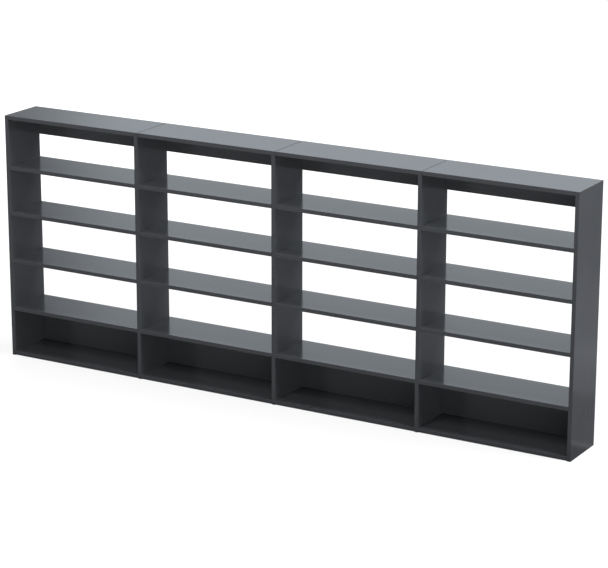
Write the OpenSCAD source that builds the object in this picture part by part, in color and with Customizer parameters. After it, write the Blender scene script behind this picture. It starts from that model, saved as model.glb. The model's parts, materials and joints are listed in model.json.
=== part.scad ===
// Single-sided shelving unit: a run of open bays made of thick lacquered boards.
// The first bay brings two uprights. Every further bay brings one upright, on its right,
// and a top panel that butts against the top of the bay before it.
// Millimetres, +Z up, front towards -Y, origin on the floor under the middle of the run.

/* [Run] */
// Number of bays side by side
bays = 4; // [1:1:5]
// Clear width between two uprights
bay_clear = 1158; // [500:1:1400]
// Depth from the front edges to the rear edges
depth = 400; // [370:1:600]
// Height from the floor to the top face
height = 1920; // [1850:1:2300]

/* [Boards] */
// Thickness of the uprights, tops, shelves and bottom panels
board = 30; // [28:0.5:40]
// Thickness of the back rails and the back panels
thin_board = 16; // [15:0.5:22]
// Radius of the softened arrises
arris = 1.5; // [0.5:0.1:3]
// Gap between the floor and a bottom panel
bottom_gap = 4; // [2:0.5:12]
// Height of a back rail, under the top panel
rail_h = 183; // [120:1:280]
// Gap between two neighbouring top panels
seam_play = 3; // [1:0.5:4]
// Bevel of the upper edges that face each other across that gap
seam_bevel = 4; // [1.5:0.5:6]
// Gap above a back panel, under the lowest shelf
back_play = 0.6; // [0.2:0.1:3]

/* [Shelves] */
// Clear height under the lowest shelf
clear_1 = 333; // [250:1:380]
// Clear height under the second shelf
clear_2 = 359; // [250:1:380]
// Clear height under the third shelf
clear_3 = 348; // [250:1:380]
// Clear height under the highest shelf
clear_4 = 331; // [250:1:380]
// Gap at each end of a shelf
shelf_play = 0.5; // [0.2:0.1:2]

/* [Shelf pins] */
// Diameter of a shelf pin
pin_d = 5; // [4:0.5:8]
// Length of a pin inside the upright
pin_in = 10; // [8:0.5:12]
// Length of a pin under the shelf
pin_out = 10; // [8:0.5:16]
// Height of a pin's axis above the underside of its shelf
pin_up = 6; // [4:0.5:14]
// Distance of a pin from the front and the rear edge
pin_inset = 37; // [30:1:60]
// Room round a pin in the groove of its shelf
groove_play = 0.4; // [0.2:0.1:1]

/* [Cam fittings] */
// Diameter of a cam housing
cam_d = 15; // [14:0.5:18]
// Distance from a cam's centre to the joint
cam_dist = 24; // [22:1:34]
// Distance from a seam cam's centre to the upright beside it
seam_cam_gap = 12; // [11.5:0.5:20]
// Depth of a cam below the axis of its bolt
cam_over = 4.5; // [4.25:0.25:5]
// Distance of the cams from the front and the rear edge
cam_inset = 80; // [72:1:90]
// Distance of the seam cams from the front and the rear edge
seam_cam_inset = 130; // [115:1:140]
// Diameter of a bolt's shank
bolt_d = 7; // [6:0.25:7.5]
// Diameter of a bolt's neck, inside the cam
neck_d = 4; // [3:0.25:4.5]
// Diameter of a bolt's thread
thread_d = 5; // [4:0.25:6]
// Length of a bolt's thread in the other board
thread_in = 11; // [9:0.5:12]
// Diameter of a cover cap
cap_d = 17; // [16.5:0.5:20]
// Thickness of a cover cap
cap_t = 1; // [0.8:0.1:2]

/* [Dowels] */
// Diameter of a dowel
dowel_d = 8; // [6:0.5:8]
// Depth of a dowel in the face of a board
dowel_in_face = 12; // [10:0.5:12.5]
// Depth of a dowel in the edge of a board
dowel_in_edge = 18; // [15:0.5:24]
// Distance of the dowels from the front and the rear edge
dowel_inset = 30; // [24:1:36]
// Distance of the seam dowels from the front and the rear edge
seam_dowel_inset = 55; // [48:1:62]
// Distance of a rail's or a back panel's dowels from its long edges
back_dowel_inset = 32; // [24:1:40]
// Play all round a fastener in its bore
bore_play = 0.05; // [0.02:0.01:0.15]
// Room behind the end of a fastener in a blind bore
bore_rest = 0.5; // [0.3:0.1:1]

/* [Glides] */
// Diameter of a glide's head
glide_d = 22; // [18:0.5:24]
// Thickness of a glide's head
glide_head = 5; // [4:0.5:8]
// Height of a glide below the upright
glide_proud = 1; // [0.5:0.1:3]
// Diameter of a glide's shank
glide_shank_d = 8; // [6:0.5:8]
// Length of a glide's shank
glide_shank = 18; // [12:1:24]
// Distance of the glides from the front and the rear edge
glide_inset = 55; // [50:1:62]

/* [Hidden] */
lacquer = [0.235, 0.245, 0.258];
zinc = [0.68, 0.69, 0.70];
steel = [0.74, 0.74, 0.72];
beech = [0.80, 0.66, 0.47];
black_plastic = [0.09, 0.09, 0.10];
dark_plastic = [0.20, 0.21, 0.225];

facets = 48;
shelf_count = 4;
ends = [-1, 1];
clears = [clear_1, clear_2, clear_3, clear_4];

pitch = bay_clear + board;
run_w = bays * pitch + board;
front_y = -depth / 2;
rear_y = depth / 2;
upright_z = glide_proud;
top_z = height - board;
bottom_top = bottom_gap + board;
thin_y = rear_y - thin_board / 2;
rail_z = top_z - rail_h;

cam_y = depth / 2 - cam_inset;
seam_cam_y = depth / 2 - seam_cam_inset;
seam_cam_dist = board + seam_cam_gap;
dowel_y = depth / 2 - dowel_inset;
seam_dowel_y = depth / 2 - seam_dowel_inset;
pin_y = depth / 2 - pin_inset;
glide_y = depth / 2 - glide_inset;

// Left face of upright i, from 0 at the left end.
function upright_x(i) = -run_w / 2 + i * pitch;
// End of bay b's clear width: side -1 is the left end and side 1 the right end.
function end_x(b, side) = upright_x(b) + board + (side > 0 ? bay_clear : 0);
// Joint between the tops of bays b and b + 1, over the right face of their shared upright.
function seam_x(b) = end_x(b, 1) + board;
// Clear heights and boards below the underside of shelf r, from 0 at the lowest.
function under(r) = r < 0 ? 0 : clears[r] + (r > 0 ? under(r - 1) + board : 0);
function shelf_z(r) = bottom_top + under(r);
back_h = clear_1 - back_play;
back_z = bottom_top;

// A fitting is [centre of the cam on the board's face, outward normal, way to the joint,
// thickness of the board, distance to the joint].
function upright_fittings(i) =
    let (inner = i == 0)
    [for (y = [-cam_y, cam_y])
        [[upright_x(i) + (inner ? board : 0), y, top_z - cam_dist],
         [inner ? 1 : -1, 0, 0], [0, 0, 1], board, cam_dist]];
function seam_fittings(b) =
    [for (y = [-seam_cam_y, seam_cam_y]) for (side = ends)
        [[seam_x(b) + side * seam_cam_dist, y, top_z], [0, 0, -1], [-side, 0, 0], board,
         seam_cam_dist]];
function bottom_fittings(b, side) =
    [for (y = [-cam_y, cam_y])
        [[end_x(b, side) - side * cam_dist, y, bottom_gap], [0, 0, -1], [side, 0, 0], board,
         cam_dist]];
function rail_fittings(b, side) =
    [[[end_x(b, side) - side * cam_dist, rear_y, rail_z + rail_h / 2],
      [0, 1, 0], [side, 0, 0], thin_board, cam_dist]];
function back_fittings(b, side) =
    [[[end_x(b, side) - side * cam_dist, rear_y, back_z + back_h / 2],
      [0, 1, 0], [side, 0, 0], thin_board, cam_dist]];
// Fittings of the boards of bay b that end at its left or right upright.
function end_fittings(b, side) =
    concat(bottom_fittings(b, side), rail_fittings(b, side), back_fittings(b, side));

// A dowel is [point on the joint, way it points, length ahead, length behind].
function upright_dowels(i) =
    [for (y = [-dowel_y, dowel_y])
        [[upright_x(i) + board / 2, y, top_z], [0, 0, 1], dowel_in_face, dowel_in_edge]];
function seam_dowels(b) =
    [for (y = [-seam_dowel_y, seam_dowel_y])
        [[seam_x(b), y, top_z + board / 2], [1, 0, 0], dowel_in_edge, dowel_in_edge]];
function bottom_dowels(b, side) =
    [for (y = [-dowel_y, dowel_y])
        [[end_x(b, side), y, bottom_gap + board / 2], [side, 0, 0], dowel_in_face, dowel_in_edge]];
function rail_dowels(b, side) =
    [for (z = [rail_z + back_dowel_inset, rail_z + rail_h - back_dowel_inset])
        [[end_x(b, side), thin_y, z], [side, 0, 0], dowel_in_face, dowel_in_edge]];
function back_dowels(b, side) =
    [for (z = [back_z + back_dowel_inset, back_z + back_h - back_dowel_inset])
        [[end_x(b, side), thin_y, z], [side, 0, 0], dowel_in_face, dowel_in_edge]];
function end_dowels(b, side) =
    concat(bottom_dowels(b, side), rail_dowels(b, side), back_dowels(b, side));

// A pin is [point on the upright's face, way into the upright].
function shelf_pins_at(b, r, side) =
    [for (y = [-pin_y, pin_y]) [[end_x(b, side), y, shelf_z(r) + pin_up], [side, 0, 0]]];

last = bays - 1;
all_uprights = [0:bays];
all_bays = [0:last];
all_seams = [0:1:last - 1];
all_shelves = [0:shelf_count - 1];

// Puts children at a point, with their +Z along out and their +X along to.
module aim(point, out, to) {
    side = cross(out, to);
    multmatrix([
        [to.x, side.x, out.x, point.x],
        [to.y, side.y, out.y, point.y],
        [to.z, side.z, out.z, point.z]
    ])
        children();
}

// A vector square to a given one along an axis.
function square_to(v) = v.z == 0 ? [0, 0, 1] : [1, 0, 0];

// Rectangle from the origin with arcs of the arris radius on the corners that are picked,
// in the order low x low y, high x low y, high x high y, low x high y.
module soft_rectangle(w, h, picked = [true, true, true, true]) {
    corners = [[0, 0], [w, 0], [w, h], [0, h]];
    centres = [[arris, arris], [w - arris, arris], [w - arris, h - arris], [arris, h - arris]];
    difference() {
        square([w, h]);
        for (k = [0:3])
            if (picked[k])
                difference() {
                    translate([min(corners[k].x, centres[k].x), min(corners[k].y, centres[k].y)])
                        square(arris);
                    translate(centres[k])
                        circle(r = arris, $fn = facets);
                }
    }
}

// Board lying along X, from x0 to x1, with its section in YZ softened at the picked corners.
module long_board(x0, x1, y, z, w, h, picked = [true, true, true, true]) {
    translate([x0, y, z])
        aim([0, 0, 0], [1, 0, 0], [0, 1, 0])
            linear_extrude(x1 - x0)
                soft_rectangle(w, h, picked);
}

// Blind bore along +Z, from a little before the mouth to the given depth.
module bore(d, deep) {
    translate([0, 0, -0.01])
        cylinder(d = d + 2 * bore_play, h = deep + bore_rest + 0.01, $fn = facets);
}

// Point on a bolt's axis, in the middle of its cam.
function axis_point(f) = f[0] - f[1] * f[3] / 2;

// Cam bore in the board's face and bolt bore in its edge.
module cam_cuts(f) {
    aim(f[0], -f[1], f[2])
        translate([0, 0, -0.01])
            cylinder(d = cam_d + 2 * bore_play, h = f[3] / 2 + cam_over + 0.01, $fn = facets);
    aim(axis_point(f), f[2], f[1])
        cylinder(d = bolt_d + 4 * bore_play, h = f[4], $fn = facets);
}

// Cam and bolt bores, with the thread bores in the face of the other board.
module fitting_cuts(fittings) {
    for (f = fittings) {
        cam_cuts(f);
        aim(axis_point(f) + f[2] * f[4], f[2], f[1])
            bore(thread_d, thread_in);
    }
}

module dowel_cuts(dowels) {
    for (d = dowels) {
        aim(d[0], d[1], square_to(d[1]))
            bore(dowel_d, d[2]);
        aim(d[0], -d[1], square_to(d[1]))
            bore(dowel_d, d[3]);
    }
}

// Upright board i: section softened on its four long arrises, bored for every piece that meets it.
module upright(i) {
    left_bay = i - 1;
    color(lacquer)
        difference() {
            translate([upright_x(i), front_y, upright_z])
                linear_extrude(top_z - upright_z)
                    soft_rectangle(board, depth);
            fitting_cuts(upright_fittings(i));
            dowel_cuts(upright_dowels(i));
            if (left_bay >= 0)
                bay_end_cuts(left_bay, 1);
            if (i < bays)
                bay_end_cuts(i, -1);
            for (y = [-glide_y, glide_y])
                translate([upright_x(i) + board / 2, y, upright_z])
                    glide_cut();
        }
}

// Bores in an upright for the boards and shelves of one bay.
module bay_end_cuts(b, side) {
    fitting_cuts(end_fittings(b, side));
    dowel_cuts(end_dowels(b, side));
    for (r = all_shelves)
        for (p = shelf_pins_at(b, r, side))
            aim(p[0], p[1], square_to(p[1]))
                bore(pin_d, pin_in);
}

// Recess for a glide's head and bore for its shank.
module glide_cut() {
    translate([0, 0, -0.01])
        cylinder(d = glide_d + 4 * bore_play, h = glide_head - glide_proud + 0.01, $fn = facets);
    cylinder(d = glide_shank_d + 2 * bore_play,
        h = glide_head - glide_proud + glide_shank + bore_rest, $fn = facets);
}

// Outline of a top panel from the front. Its upper corners are softened at an end of the run
// and bevelled at a seam, so that a small step between two tops doesn't catch.
module top_outline(w, left_seam, right_seam) {
    difference() {
        soft_rectangle(w, board, [false, false, !right_seam, !left_seam]);
        if (left_seam)
            translate([0, board])
                rotate(45)
                    square(seam_bevel * sqrt(2), center = true);
        if (right_seam)
            translate([w, board])
                rotate(45)
                    square(seam_bevel * sqrt(2), center = true);
    }
}

// Top panel of bay b. It lies on its right upright, and the first one on its left upright too.
// Its ends are flush with the end uprights.
module top_panel(b) {
    left_gap = b == 0 ? 0 : seam_play / 2;
    right_gap = b == last ? 0 : seam_play / 2;
    x0 = (b == 0 ? upright_x(0) : seam_x(b - 1)) + left_gap;
    x1 = seam_x(b) - right_gap;
    color(lacquer)
        difference() {
            intersection() {
                long_board(x0, x1, front_y, top_z, depth, board);
                translate([x0, rear_y, top_z])
                    rotate([90, 0, 0])
                        linear_extrude(depth)
                            top_outline(x1 - x0, b > 0, b < last);
            }
            if (b == 0)
                upright_top_cuts(0);
            upright_top_cuts(b + 1);
            if (b > 0)
                seam_cuts(b - 1);
            if (b < last)
                seam_cuts(b);
        }
}

module upright_top_cuts(i) {
    fitting_cuts(upright_fittings(i));
    dowel_cuts(upright_dowels(i));
}

module seam_cuts(b) {
    dowel_cuts(seam_dowels(b));
    for (f = seam_fittings(b))
        cam_cuts(f);
}

// Bottom panel of bay b, hung between two uprights just above the floor.
module bottom_panel(b) {
    color(lacquer)
        difference() {
            long_board(end_x(b, -1), end_x(b, 1), front_y, bottom_gap, depth, board);
            for (side = ends) {
                fitting_cuts(bottom_fittings(b, side));
                dowel_cuts(bottom_dowels(b, side));
            }
        }
}

// Back rail of bay b, upright at the rear against the underside of the top panel.
module back_rail(b) {
    color(lacquer)
        difference() {
            long_board(end_x(b, -1), end_x(b, 1), rear_y - thin_board, rail_z, thin_board, rail_h,
                [true, true, false, false]);
            for (side = ends) {
                fitting_cuts(rail_fittings(b, side));
                dowel_cuts(rail_dowels(b, side));
            }
        }
}

// Back panel of bay b. It closes only the lowest compartment.
module back_panel(b) {
    color(lacquer)
        difference() {
            long_board(end_x(b, -1), end_x(b, 1), rear_y - thin_board, back_z, thin_board, back_h,
                [false, false, true, true]);
            for (side = ends) {
                fitting_cuts(back_fittings(b, side));
                dowel_cuts(back_dowels(b, side));
            }
        }
}

// Shelf r of bay b, with a stopped groove over each of its four pins.
module shelf(b, r) {
    color(lacquer)
        difference() {
            long_board(end_x(b, -1) + shelf_play, end_x(b, 1) - shelf_play, front_y, shelf_z(r),
                depth, board);
            for (side = ends)
                for (p = shelf_pins_at(b, r, side))
                    aim(p[0], [0, 0, 1], -p[1])
                        pin_groove();
        }
}

// Groove cut from below by an upright cutter: flat ceiling on the pin, round inner end.
// It starts at the upright's face and runs along +X, with the pin's axis at height 0.
module pin_groove() {
    groove_w = pin_d + groove_play;
    groove_l = pin_out + groove_play;
    below = pin_up + 1;
    translate([0, -groove_w / 2, -below])
        cube([groove_l - groove_w / 2, groove_w, below + pin_d / 2]);
    translate([groove_l - groove_w / 2, 0, -below])
        cylinder(d = groove_w, h = below + pin_d / 2, $fn = facets);
}

// Solid of revolution about +Z from [radius, height] points, closed along the axis.
module turned(points) {
    rotate_extrude($fn = facets)
        polygon(concat([[0, points[0].y]], points, [[0, points[len(points) - 1].y]]));
}

// Plain round rod along +Z with chamfered ends.
module rod(d, z0, z1, chamfer) {
    r = d / 2;
    turned([[r - chamfer, z0], [r, z0 + chamfer], [r, z1 - chamfer], [r - chamfer, z1]]);
}

// Steel pins, half in the upright and half under the shelf.
module shelf_pins() {
    color(steel)
        for (b = all_bays) for (r = all_shelves) for (side = ends)
            for (p = shelf_pins_at(b, r, side))
                aim(p[0], p[1], square_to(p[1]))
                    rod(pin_d, -pin_out, pin_in, 0.6);
}

// Every fitting with its own bolt, that is all but those at the seams.
single_fittings = concat(
    [for (i = all_uprights) each upright_fittings(i)],
    [for (b = all_bays) for (side = ends) each end_fittings(b, side)]
);
pair_fittings = [for (b = all_seams) each seam_fittings(b)];
// Fittings that show inside the bays, not those at the rear and under the bottom panels.
capped_fittings = concat([for (i = all_uprights) each upright_fittings(i)], pair_fittings);

head_d = bolt_d - 1;
head_l = 3;
neck_l = cam_d / 2 + 0.5;
shank_r = bolt_d / 2 - 0.4;
pocket_d = head_d + 1;
driver_w = 1.2;
driver_l = 7;
driver_deep = 2.2;

// Cast cam, its face at z = 0 and its bolt along +X at half the board's thickness.
// The bolt's head sits in the hollow, and the neck passes the slot in the wall.
module cam(thick) {
    axis_z = -thick / 2;
    difference() {
        translate([0, 0, axis_z - cam_over + bore_play])
            cylinder(d = cam_d, h = thick / 2 + cam_over - bore_play, $fn = facets);
        translate([0, 0, axis_z - pocket_d / 2])
            cylinder(d = pocket_d, h = pocket_d, $fn = facets);
        translate([0, -neck_d / 2 - 0.3, axis_z - neck_d / 2 - 0.3])
            cube([cam_d, neck_d + 0.6, neck_d + 0.6]);
        translate([-cam_d, -head_d / 2 - 0.3, axis_z - head_d / 2 - 0.3])
            cube([cam_d, head_d + 0.6, head_d + 0.6]);
        for (turn = [0, 90])
            rotate(turn + 45)
                translate([-driver_l / 2, -driver_w / 2, -driver_deep])
                    cube([driver_l, driver_w, driver_deep + 1]);
    }
}

module cam_housings() {
    color(zinc)
        for (f = concat(single_fittings, pair_fittings))
            aim(f[0], f[1], f[2])
                cam(f[3]);
}

// Outline of a bolt from its head, at the cam's centre, to the given height on its shank.
function bolt_head(to_z) = [
    [head_d / 2 - 0.6, -head_l / 2], [head_d / 2, 0.6 - head_l / 2], [head_d / 2, head_l / 2 - 0.6],
    [head_d / 2 - 0.6, head_l / 2], [neck_d / 2, head_l / 2], [neck_d / 2, neck_l],
    [shank_r, neck_l], [shank_r, to_z]
];

// Bolts screwed into the face of the other board.
module cam_bolts() {
    color(steel)
        for (f = single_fittings)
            aim(axis_point(f), f[2], f[1])
                turned(concat(bolt_head(f[4]), [
                    [thread_d / 2, f[4]], [thread_d / 2, f[4] + thread_in - 1],
                    [thread_d / 2 - 1, f[4] + thread_in]
                ]));
}

// Bolts with a head at each end, which pull two top panels together.
module seam_bolts() {
    half = [for (point = bolt_head(seam_cam_dist)) if (point.y < seam_cam_dist) point];
    far = [for (k = [len(half) - 1:-1:0]) [half[k].x, 2 * seam_cam_dist - half[k].y]];
    color(steel)
        for (f = pair_fittings)
            if (f[2].x > 0)
                aim(axis_point(f), f[2], f[1])
                    turned(concat(half, far));
}

// Press-in caps over the cams, with a stub in the middle of the driver's cross.
module cover_caps() {
    stub_r = driver_w / 2 - 0.1;
    color(dark_plastic)
        for (f = capped_fittings)
            aim(f[0], f[1], f[2])
                turned([[stub_r, 0.4 - driver_deep], [stub_r, 0], [cap_d / 2, 0],
                    [cap_d / 2, cap_t * 0.4], [cap_d / 2 - cap_t * 0.6, cap_t]]);
}

module dowels() {
    color(beech)
        for (d = concat(
            [for (i = all_uprights) each upright_dowels(i)],
            [for (b = all_seams) each seam_dowels(b)],
            [for (b = all_bays) for (side = ends) each end_dowels(b, side)]))
            aim(d[0], d[1], square_to(d[1]))
                rod(dowel_d, -d[3], d[2], 1);
}

// Press-in plastic glides under the uprights.
module floor_glides() {
    head_r = glide_d / 2;
    stem_r = glide_shank_d / 2;
    tip = glide_head + glide_shank;
    color(black_plastic)
        for (i = all_uprights) for (y = [-glide_y, glide_y])
            translate([upright_x(i) + board / 2, y, 0])
                turned([[head_r - 1.5, 0], [head_r, 1.5], [head_r, glide_head],
                    [stem_r, glide_head], [stem_r, tip - 1], [stem_r - 1, tip]]);
}

for (i = all_uprights)
    upright(i);
for (b = all_bays) {
    top_panel(b);
    bottom_panel(b);
    back_rail(b);
    back_panel(b);
    for (r = all_shelves)
        shelf(b, r);
}
shelf_pins();
cam_housings();
cam_bolts();
seam_bolts();
cover_caps();
dowels();
floor_glides();
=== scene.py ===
# %% [markdown]
# # A run of lacquered shelving
# The object is a long, low run of open shelves: thick boards of fibreboard, sprayed dark graphite
# and joined by hidden cams and dowels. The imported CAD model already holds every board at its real
# size, with the small round on each long arris and a bore for each fastener. So the work here is
# what CAD leaves out: the lacquer, the bare metal and wood of the fasteners, the studio, and a
# camera that stands where the photographer stood.

import json
import math

import bpy
import numpy as np
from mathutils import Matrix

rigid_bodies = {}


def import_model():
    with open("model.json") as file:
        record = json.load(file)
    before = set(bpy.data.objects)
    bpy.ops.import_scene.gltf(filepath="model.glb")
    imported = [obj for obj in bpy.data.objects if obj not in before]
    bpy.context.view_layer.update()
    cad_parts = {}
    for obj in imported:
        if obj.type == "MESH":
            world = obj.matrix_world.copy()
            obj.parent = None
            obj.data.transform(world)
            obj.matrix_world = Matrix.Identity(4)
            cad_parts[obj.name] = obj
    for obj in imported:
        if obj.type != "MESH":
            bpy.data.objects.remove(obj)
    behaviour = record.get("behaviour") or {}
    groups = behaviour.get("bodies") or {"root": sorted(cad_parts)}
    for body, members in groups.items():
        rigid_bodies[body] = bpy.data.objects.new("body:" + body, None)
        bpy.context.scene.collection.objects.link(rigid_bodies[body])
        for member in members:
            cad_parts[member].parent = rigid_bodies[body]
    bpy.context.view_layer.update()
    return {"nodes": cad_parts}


# Blender starts with a cube, a lamp and a camera of its own, which go first.
for start_object in list(bpy.data.objects):
    bpy.data.objects.remove(start_object)

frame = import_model()
# Straight after loading, the bounds are the box of the CAD model.
nodes = frame["nodes"]

# %% [markdown]
# ## The camera
# A wide run seen whole from near its right end still shows only gentle perspective, so the
# photographer stood far back with a long lens. A camera could be turned by eye until the picture
# looks right, but thin boards show an error of one pixel. So the place, the angles and the lens
# below come from fitting a pinhole camera to the corners of the sixteen open compartments. No
# shift is needed, because the picture's centre is also where the lens points.

# %% Camera
# The sensor and the lens are in millimetres, the place in metres and the angles in degrees.
camera_data = bpy.data.cameras.new("camera")
camera_data.sensor_width = 36.0
camera_data.lens = 142.02
camera_data.clip_end = 200.0
camera = bpy.data.objects.new("camera", camera_data)
camera.location = (8.6274, -14.5804, 5.7960)
camera.rotation_euler = [math.radians(a) for a in (73.817, -0.0847, 30.2174)]
bpy.context.scene.collection.objects.link(camera)
bpy.context.scene.camera = camera
print(f"lens {camera_data.lens} mm, {camera.location.length:.1f} m from the object")

# %% [markdown]
# ## Helpers
# Colours are noted as sRGB hex values, the way a picture editor shows them, while the shader
# works in linear light. One function turns the first into the second. Another adds a node to a
# tree and sets it up in one line, whatever its kind, so that each material below reads as a list.
#
# Every pattern here lies on Object coordinates, which are metres on the real object. So the scale
# of a pattern is the number of its features in one metre, or 1000 divided by the size of one
# feature in millimetres: a scale of 500 makes features of 2 mm.


# %% Helpers for colours and nodes
def linear(hex_colour):
    """Linear RGBA of an sRGB hex colour.

    Each part c becomes c / 12.92 up to 0.04045, and ((c + 0.055) / 1.055) ** 2.4 above it.
    """
    srgb = np.array([int(hex_colour[i : i + 2], 16) for i in (1, 3, 5)]) / 255
    rgb = np.where(srgb <= 0.04045, srgb / 12.92, ((srgb + 0.055) / 1.055) ** 2.4)
    return (*rgb.tolist(), 1.0)


def add(tree, kind, settings=None, **inputs):
    """Adds a node, sets its properties, then fills each named input with a value or a link.

    An input is named with _ for each space, or by i and its number where names are shared.
    """
    new_node = tree.nodes.new(kind)
    for key, value in (settings or {}).items():
        setattr(new_node, key, value)
    for key, value in inputs.items():
        by_number = key[0] == "i" and key[1:].isdigit()
        socket = new_node.inputs[int(key[1:]) if by_number else key.replace("_", " ")]
        if isinstance(value, bpy.types.NodeSocket):
            tree.links.new(value, socket)
        else:
            socket.default_value = value
    return new_node


def new_material(name):
    """A material with an empty node tree and its output node."""
    material = bpy.data.materials.new(name)
    material.use_nodes = True
    material.node_tree.nodes.clear()
    return material, material.node_tree, add(material.node_tree, "ShaderNodeOutputMaterial")


print("graphite in linear light:", [round(c, 4) for c in linear("#434548")[:3]])

# %% [markdown]
# ## Graphite lacquer
# The boards are medium-density fibreboard, primed, sanded and sprayed with satin
# polyurethane lacquer. One dark colour with an even gloss would look like plain plastic. The real
# film is a dielectric of index 1.5, smooth enough to mirror the room dimly at a grazing angle, so
# the tops look much paler than the fronts though all have one colour. Four faint things tell it
# from plastic: a cloudy change of tone where the gun's passes overlap, specks of pigment and
# dust, wiping marks that change the gloss, and the ripple of orange peel. They are made of noise,
# because noise has no seam and so fits boards of any size.


# %% Lacquer
def lacquer_material():
    """Satin sprayed lacquer: dark film, broad tone clouds, specks, uneven gloss, orange peel."""
    material, tree, output = new_material("graphite satin lacquer on fibreboard")
    place = add(tree, "ShaderNodeTexCoord").outputs["Object"]
    # Spray passes overlap every 250 mm or so.
    clouds = add(tree, "ShaderNodeTexNoise", Vector=place, Scale=4.0, Detail=2.0, Roughness=0.45)
    tone = add(tree, "ShaderNodeMix", {"data_type": "RGBA"}, Factor=clouds.outputs["Fac"],
               i6=linear("#404245"), i7=linear("#46484b"))
    # Pigment and dust nibs are well under a millimetre, drawn here at 2 mm so that they show.
    nibs = add(tree, "ShaderNodeTexNoise", Vector=place, Scale=500.0, Detail=1.0)
    speck = add(tree, "ShaderNodeMapRange", Value=nibs.outputs["Fac"], From_Min=0.62,
                From_Max=0.80, To_Min=0.0, To_Max=0.10)
    colour = add(tree, "ShaderNodeMix", {"data_type": "RGBA"}, Factor=speck.outputs["Result"],
                 i6=tone.outputs[2], i7=linear("#6c6f73"))
    # Wiping marks run along the boards, about 330 mm long and 17 mm wide.
    along = add(tree, "ShaderNodeMapping", Vector=place, Scale=(3.0, 60.0, 60.0))
    wipes = add(tree, "ShaderNodeTexNoise", Vector=along.outputs["Vector"], Scale=1.0, Detail=3.0)
    gloss = add(tree, "ShaderNodeMapRange", Value=wipes.outputs["Fac"], From_Min=0.3,
                From_Max=0.7, To_Min=0.13, To_Max=0.19)
    # Orange peel has a wave of 3 mm. The bump is 0.04 mm at full strength and drawn at a quarter
    # of it, so the ripple is 0.01 mm high.
    peel = add(tree, "ShaderNodeTexNoise", Vector=place, Scale=330.0, Detail=0.0)
    bump = add(tree, "ShaderNodeBump", Strength=0.25, Distance=0.00004, Height=peel.outputs["Fac"])
    shader = add(tree, "ShaderNodeBsdfPrincipled", Base_Color=colour.outputs[2],
                 Roughness=gloss.outputs["Result"], IOR=1.5, Normal=bump.outputs["Normal"])
    tree.links.new(shader.outputs["BSDF"], output.inputs["Surface"])
    return material


lacquer = lacquer_material()
print("lacquer nodes:", len(lacquer.node_tree.nodes))

# %% [markdown]
# ## Metal of the fasteners
# The shelf pins are turned steel with bright nickel plate, the bolts are steel with zinc plate,
# and the cams are zinc castings left as they come from the die. All three are metals, so their
# colour is the colour of their reflection, and the same nodes serve for all. What differs is the
# tone, the gloss and the grain, which is finer on plate than on the cloudy matt skin of a casting.


# %% Metals
def metal_material(name, light, dark, smooth, rough, patch_mm, grain_mm):
    """Bare or plated metal: two tones in patches, and a fine grain in the gloss and the bump."""
    material, tree, output = new_material(name)
    place = add(tree, "ShaderNodeTexCoord").outputs["Object"]
    patches = add(tree, "ShaderNodeTexNoise", Vector=place, Scale=1000.0 / patch_mm, Detail=3.0)
    tone = add(tree, "ShaderNodeMix", {"data_type": "RGBA"}, Factor=patches.outputs["Fac"],
               i6=linear(dark), i7=linear(light))
    grain = add(tree, "ShaderNodeTexNoise", Vector=place, Scale=1000.0 / grain_mm, Detail=2.0)
    gloss = add(tree, "ShaderNodeMapRange", Value=grain.outputs["Fac"], From_Min=0.3,
                From_Max=0.7, To_Min=smooth, To_Max=rough)
    bump = add(tree, "ShaderNodeBump", Strength=0.3, Distance=0.00003, Height=grain.outputs["Fac"])
    shader = add(tree, "ShaderNodeBsdfPrincipled", Base_Color=tone.outputs[2], Metallic=1.0,
                 Roughness=gloss.outputs["Result"], Normal=bump.outputs["Normal"])
    tree.links.new(shader.outputs["BSDF"], output.inputs["Surface"])
    return material


nickel = metal_material("nickel plate on turned steel", light="#d6d0c6", dark="#bdb6ab",
                        smooth=0.16, rough=0.28, patch_mm=9.0, grain_mm=0.6)
zinc_plate = metal_material("blue-passivated zinc plate", light="#c9ccce", dark="#a9adb2",
                            smooth=0.25, rough=0.40, patch_mm=6.0, grain_mm=0.5)
zinc_cast = metal_material("zinc die casting, as cast", light="#b4b5b6", dark="#8f9091",
                           smooth=0.38, rough=0.55, patch_mm=4.0, grain_mm=0.8)
print("metals:", [metal.name for metal in (nickel, zinc_plate, zinc_cast)])

# %% [markdown]
# ## Beech
# The dowels are turned from beech, a pale pinkish wood with short dark flecks along the grain.
# Wood could be carved out of rings round a trunk, but in a stick of 8 mm the rings are so nearly
# flat that noise stretched along the dowel looks the same. All dowels but those that stand in the
# uprights lie along X, so the noise is stretched along X.


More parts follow.
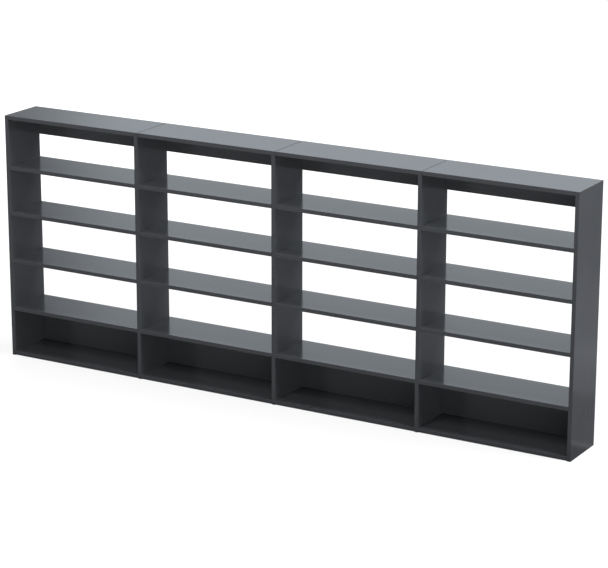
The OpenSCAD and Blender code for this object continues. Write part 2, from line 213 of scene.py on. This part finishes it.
# %% Beech
def beech_material():
    """Turned beech: growth bands 2 mm apart and 25 mm long, and flecks 6 mm by 0.5 mm, along X."""
    material, tree, output = new_material("beech, turned and fluted")
    place = add(tree, "ShaderNodeTexCoord").outputs["Object"]
    stretched = add(tree, "ShaderNodeMapping", Vector=place, Scale=(40.0, 500.0, 500.0))
    bands = add(tree, "ShaderNodeTexNoise", Vector=stretched.outputs["Vector"], Scale=1.0,
                Detail=3.0)
    tone = add(tree, "ShaderNodeMix", {"data_type": "RGBA"}, Factor=bands.outputs["Fac"],
               i6=linear("#c39a6c"), i7=linear("#dcbb90"))
    thin = add(tree, "ShaderNodeMapping", Vector=place, Scale=(160.0, 2000.0, 2000.0))
    flecks = add(tree, "ShaderNodeTexNoise", Vector=thin.outputs["Vector"], Scale=1.0, Detail=1.0)
    fleck = add(tree, "ShaderNodeMapRange", Value=flecks.outputs["Fac"], From_Min=0.60,
                From_Max=0.72, To_Min=0.0, To_Max=0.6)
    colour = add(tree, "ShaderNodeMix", {"data_type": "RGBA"}, Factor=fleck.outputs["Result"],
                 i6=tone.outputs[2], i7=linear("#8a5f3c"))
    bump = add(tree, "ShaderNodeBump", Strength=0.4, Distance=0.0001, Height=bands.outputs["Fac"])
    shader = add(tree, "ShaderNodeBsdfPrincipled", Base_Color=colour.outputs[2], Roughness=0.62,
                 IOR=1.5, Normal=bump.outputs["Normal"])
    tree.links.new(shader.outputs["BSDF"], output.inputs["Surface"])
    return material


beech = beech_material()
print("beech nodes:", len(beech.node_tree.nodes))

# %% [markdown]
# ## Two plastics
# The cover caps and the glides are injection moulded: the caps of polypropylene in the grey of the
# boards, the glides of black polyethylene that slides on the floor. Moulded plastic takes the
# spark-eroded texture of its mould, a fine matt grain of about 0.3 mm. The cells of a Voronoi
# texture are round pits of nearly one size, as such a grain has, where noise would be smoother.


# %% Plastics
def plastic_material(name, light, dark, roughness, ior):
    """Moulded plastic: nearly one colour, with an eroded mould grain of 0.3 mm in the bump."""
    material, tree, output = new_material(name)
    place = add(tree, "ShaderNodeTexCoord").outputs["Object"]
    # The melt's flow marks are about 8 mm wide.
    flow = add(tree, "ShaderNodeTexNoise", Vector=place, Scale=120.0, Detail=2.0)
    colour = add(tree, "ShaderNodeMix", {"data_type": "RGBA"}, Factor=flow.outputs["Fac"],
                 i6=linear(dark), i7=linear(light))
    grain = add(tree, "ShaderNodeTexVoronoi", Vector=place, Scale=3300.0)
    bump = add(tree, "ShaderNodeBump", Strength=0.35, Distance=0.00002,
               Height=grain.outputs["Distance"])
    shader = add(tree, "ShaderNodeBsdfPrincipled", Base_Color=colour.outputs[2],
                 Roughness=roughness, IOR=ior, Normal=bump.outputs["Normal"])
    tree.links.new(shader.outputs["BSDF"], output.inputs["Surface"])
    return material


cap_plastic = plastic_material("moulded polypropylene, graphite", light="#42474b",
                               dark="#3a3f43", roughness=0.45, ior=1.49)
glide_plastic = plastic_material("moulded polyethylene, black", light="#1d1d1f",
                                 dark="#151516", roughness=0.52, ior=1.51)
print("plastics:", [plastic.name for plastic in (cap_plastic, glide_plastic)])

# %% [markdown]
# ## Finishes on the CAD nodes
# Each node keeps its mesh, because its shape is already right, and only its material slots are
# filled. The fasteners have their own finishes, and everything else is a lacquered board.

# %% Give each node its finish
finishes = {
    "shelf_pins": nickel,
    "cam_bolts": zinc_plate,
    "seam_bolts": zinc_plate,
    "cam_housings": zinc_cast,
    "cover_caps": cap_plastic,
    "dowels": beech,
    "floor_glides": glide_plastic,
}
for name, piece in nodes.items():
    for index in range(len(piece.data.materials)):
        piece.data.materials[index] = finishes.get(name, lacquer)
print("boards:", len(nodes) - len(finishes), "fastener nodes:", len(finishes))

# %% [markdown]
# ## The floor
# The object was photographed in a white studio and cut out, so only white shows behind it. A
# white floor alone would give that white, but would also light the undersides far too much. So
# the floor is one large sheet that plays three parts. The camera sees white paper which
# still carries the soft shadow under the object. The lacquer mirrors a grey floor of painted
# shade and light: black under most of the object, a painted shadow, and palest 2 m behind it,
# a painted pool of light. And the light that the floor throws up under the shelves glows from
# three pale zones, which are no lamps: beyond 2.5 m in front, from 0.4 to 0.95 m in front, and
# from under the object to 1.1 m behind it. Between the object's front and the near zone, a dark
# strip is a painted shadow.


# %% Floor sheet
def floor_sheet(half_size, steps):
    """Flat square grid: x and y run from -half_size to half_size, and z is 0 all over."""
    line = np.linspace(-half_size, half_size, steps + 1)
    x, y = np.meshgrid(line, line)
    points = np.stack([x.ravel(), y.ravel(), np.zeros(x.size)], axis=1)
    corner = (np.arange(steps)[:, None] * (steps + 1) + np.arange(steps)).ravel()
    faces = np.stack([corner, corner + 1, corner + steps + 2, corner + steps + 1], axis=1)
    mesh = bpy.data.meshes.new("floor")
    mesh.from_pydata(points.tolist(), [], faces.tolist())
    return bpy.data.objects.new("floor", mesh)


floor = floor_sheet(half_size=40.0, steps=8)
print("floor faces:", len(floor.data.polygons))

# %% Grey levels of the floor
# Each stop is (metres along Y, level). The front is at negative Y.
# The mirrored levels are painted shade and light: black for the object's shadow under it, and
# palest about 2 m behind it, where lamp light falls.
mirrored_painted_light_levels = (
    (-0.25, 0.20), (-0.2, 0.0), (0.08, 0.0), (0.16, 0.26), (0.24, 0.11), (1.1, 0.12),
    (1.3, 0.28), (1.8, 0.32), (2.15, 0.41), (2.6, 0.30), (4.0, 0.27), (4.5, 0.18),
)
mirrored_tint = (0.954, 0.993, 1.11)
# The pale levels are a glow from a floor that is no lamp. The strip of 0 from 0.30 to 0.21 m in
# front is a painted shadow along the object's front.
pale_glow_levels = (
    (-2.55, 0.94), (-2.45, 0.0), (-1.05, 0.0), (-0.95, 0.50), (-0.40, 0.50), (-0.30, 0.0),
    (-0.21, 0.0), (-0.19, 0.38), (0.20, 0.50), (1.1, 0.50), (1.3, 0.0),
)
no_tint = (1.0, 1.0, 1.0)
pale_strength = 1.1
# The paper glows by itself, too, from the first level near the object to the second far away.
glow_levels = (0.80, 1.0)
glow_metres = (3.0, 9.0)
print("stops:", len(mirrored_painted_light_levels), "mirrored and", len(pale_glow_levels), "pale")


# %% Floor material
def floor_bands(tree, y_metres, stops, tint):
    """Colour along Y that goes in straight steps from stop to stop and stays even past the ends."""
    start, end = stops[0][0], stops[-1][0]
    share = add(tree, "ShaderNodeMapRange", Value=y_metres, From_Min=start, From_Max=end)
    ramp = add(tree, "ShaderNodeValToRGB", Fac=share.outputs["Result"])
    marks = ramp.color_ramp.elements
    for number, (metres, level) in enumerate(stops):
        if number == 0:
            mark = marks[0]
        elif number == len(stops) - 1:
            mark = marks[-1]
        else:
            mark = marks.new((metres - start) / (end - start))
        mark.color = (*(level * part for part in tint), 1.0)
    return ramp.outputs["Color"]


def floor_material():
    """Paper and shadow for the camera, painted shade and light for mirrors, glowing pale zones."""
    material, tree, output = new_material("studio floor, matt paper")
    path = add(tree, "ShaderNodeLightPath")
    place = add(tree, "ShaderNodeTexCoord").outputs["Object"]
    y_metres = add(tree, "ShaderNodeSeparateXYZ", Vector=place).outputs["Y"]
    # The lamps light the paper less with distance, and the glow makes up for it.
    paper = add(tree, "ShaderNodeBsdfDiffuse", Color=linear("#767676"))
    away = add(tree, "ShaderNodeVectorMath", {"operation": "LENGTH"}, i0=place)
    whiter = add(tree, "ShaderNodeMapRange", Value=away.outputs["Value"],
                 From_Min=glow_metres[0], From_Max=glow_metres[1],
                 To_Min=glow_levels[0], To_Max=glow_levels[1])
    glow = add(tree, "ShaderNodeEmission", Color=linear("#ffffff"),
               Strength=whiter.outputs["Result"])
    seen = add(tree, "ShaderNodeAddShader", i0=paper.outputs["BSDF"],
               i1=glow.outputs["Emission"])
    # The grey that mirrors see carries a painted shadow and a painted pool of light.
    grey = floor_bands(tree, y_metres, mirrored_painted_light_levels, mirrored_tint)
    mirrored = add(tree, "ShaderNodeEmission", Color=grey)
    # The pale zones glow, though they are no lamps, with a painted shadow strip along the front.
    pale = floor_bands(tree, y_metres, pale_glow_levels, no_tint)
    bounced = add(tree, "ShaderNodeEmission", Color=pale, Strength=pale_strength)
    unseen = add(tree, "ShaderNodeMixShader", i0=path.outputs["Is Glossy Ray"],
                 i1=bounced.outputs["Emission"], i2=mirrored.outputs["Emission"])
    mixed = add(tree, "ShaderNodeMixShader", i0=path.outputs["Is Camera Ray"],
                i1=unseen.outputs["Shader"], i2=seen.outputs["Shader"])
    tree.links.new(mixed.outputs["Shader"], output.inputs["Surface"])
    return material


floor.data.materials.append(floor_material())
bpy.context.scene.collection.objects.link(floor)
# The floor is no part of the object.
print("floor material:", floor.data.materials[0].name)

# %% [markdown]
# ## The backdrop and the windows
# A white backdrop goes nearly all round, with one dark gap beyond the object's left end, which is
# why the left end of the top is darker than the rest. It could be a mesh, but it is far away, so
# only its direction matters, and the world can play it: plain white for the camera, and its
# brightness by direction for mirror rays. For diffuse rays the world is nearly dark but for a row
# of low windows at the front right, whose light reaches deep into the lowest compartments.

# %% Angles and levels of the backdrop and the windows
# Angles are degrees to the left of straight back.
gap_darkens = (34.4, 37.4)
gap_ends = (40.0, 42.0)
backdrop_level, gap_level = 0.79, 0.26
backdrop_tint = (0.923, 1.005, 1.082, 1.0)
# The windows stand 25 to 75 degrees to the right of straight in front, and up to 14 degrees high,
# where the height of the ray's direction is 0.25.
windows_middle, windows_half = -130.0, 25.0
windows_height = 0.25
windows_level, room_level = 3.9, 0.1
plain_white = (1.0, 1.0, 1.0, 1.0)
print(f"gap in the backdrop {gap_darkens[0]} to {gap_ends[1]} degrees left of straight back")

# %% World
world = bpy.data.worlds.new("studio")
bpy.context.scene.world = world
world.use_nodes = True
tree = world.node_tree
tree.nodes.clear()
path = add(tree, "ShaderNodeLightPath")
way = add(tree, "ShaderNodeTexCoord").outputs["Generated"]
parts = add(tree, "ShaderNodeSeparateXYZ", Vector=way)
# The angle from straight back, positive to the left, is atan2(-x, y).
left = add(tree, "ShaderNodeMath", {"operation": "MULTIPLY"}, i0=parts.outputs["X"], i1=-1.0)
angle = add(tree, "ShaderNodeMath", {"operation": "ARCTAN2"}, i0=left.outputs[0],
            i1=parts.outputs["Y"])
near_edge = add(tree, "ShaderNodeMapRange", {"interpolation_type": "SMOOTHSTEP"},
                Value=angle.outputs[0], From_Min=math.radians(gap_darkens[0]),
                From_Max=math.radians(gap_darkens[1]), To_Min=backdrop_level, To_Max=gap_level)
far_edge = add(tree, "ShaderNodeMapRange", {"interpolation_type": "SMOOTHSTEP"},
               Value=angle.outputs[0], From_Min=math.radians(gap_ends[0]),
               From_Max=math.radians(gap_ends[1]), To_Min=0.0, To_Max=backdrop_level - gap_level)
backdrop = add(tree, "ShaderNodeMath", {"operation": "ADD"}, i0=near_edge.outputs["Result"],
               i1=far_edge.outputs["Result"])
low = add(tree, "ShaderNodeMath", {"operation": "LESS_THAN"}, i0=parts.outputs["Z"],
          i1=windows_height)
to_the_right = add(tree, "ShaderNodeMath", {"operation": "COMPARE"}, i0=angle.outputs[0],
                   i1=math.radians(windows_middle), i2=math.radians(windows_half))
windows = add(tree, "ShaderNodeMath", {"operation": "MULTIPLY"}, i0=low.outputs[0],
              i1=to_the_right.outputs[0])
brightness = add(tree, "ShaderNodeMath", {"operation": "MULTIPLY_ADD"}, i0=windows.outputs[0],
                 i1=windows_level, i2=room_level)
mirrored = add(tree, "ShaderNodeBackground", Color=backdrop_tint, Strength=backdrop.outputs[0])
room = add(tree, "ShaderNodeBackground", Color=plain_white, Strength=brightness.outputs[0])
white = add(tree, "ShaderNodeBackground", Color=plain_white, Strength=1.0)
unseen = add(tree, "ShaderNodeMixShader", i0=path.outputs["Is Glossy Ray"],
             i1=room.outputs[0], i2=mirrored.outputs[0])
mixed = add(tree, "ShaderNodeMixShader", i0=path.outputs["Is Camera Ray"],
            i1=unseen.outputs[0], i2=white.outputs[0])
tree.links.new(mixed.outputs[0], add(tree, "ShaderNodeOutputWorld").inputs["Surface"])
print("world nodes:", len(tree.nodes))

# %% [markdown]
# ## The lamps
# Three soft lamps hang high, at the front, the right and behind the right end. Two lower ones
# stand on the left, and keep the unseen sides from going black. A sun would throw hard shadows
# of the shelves, so each lamp is a square of 5 m. Mirror rays don't see the lamps, because
# the backdrop already holds all that the lacquer mirrors.


# %% Lamps
def soft_lamp(name, location, target, size, power):
    """Square area lamp at location, turned to face target, unseen by mirror rays and camera."""
    data = bpy.data.lights.new(name, "AREA")
    data.shape = "SQUARE"
    data.size = size
    data.energy = power
    lamp = bpy.data.objects.new(name, data)
    gaze = np.array(target) - np.array(location)
    lamp.location = location
    lamp.rotation_euler = (math.acos(-gaze[2] / np.linalg.norm(gaze)), 0.0,
                           math.atan2(-gaze[0], gaze[1]))
    lamp.visible_glossy = False
    lamp.visible_camera = False
    bpy.context.scene.collection.objects.link(lamp)
    return lamp


middle_of_run = (0.0, 0.0, 1.0)
lamp_side = 5.0
lamps = [
    soft_lamp(name, location, middle_of_run, lamp_side, watts)
    for name, location, watts in (
        ("lamp right", (9.0, 0.0, 11.7), 2000.0),
        ("lamp behind right", (6.4, 6.4, 11.7), 760.0),
        ("lamp front", (0.0, -9.0, 11.7), 750.0),
        ("lamp left", (-13.2, 0.0, 5.8), 700.0),
        ("lamp behind left", (-9.3, 9.3, 5.8), 800.0),
    )
]
print("lamps:", len(lamps), "of", sum(lamp.data.energy for lamp in lamps), "W together")

# %% [markdown]
# ## The end
# Standard view transform keeps each colour as written.

# %% View settings
bpy.context.scene.view_settings.view_transform = "Standard"
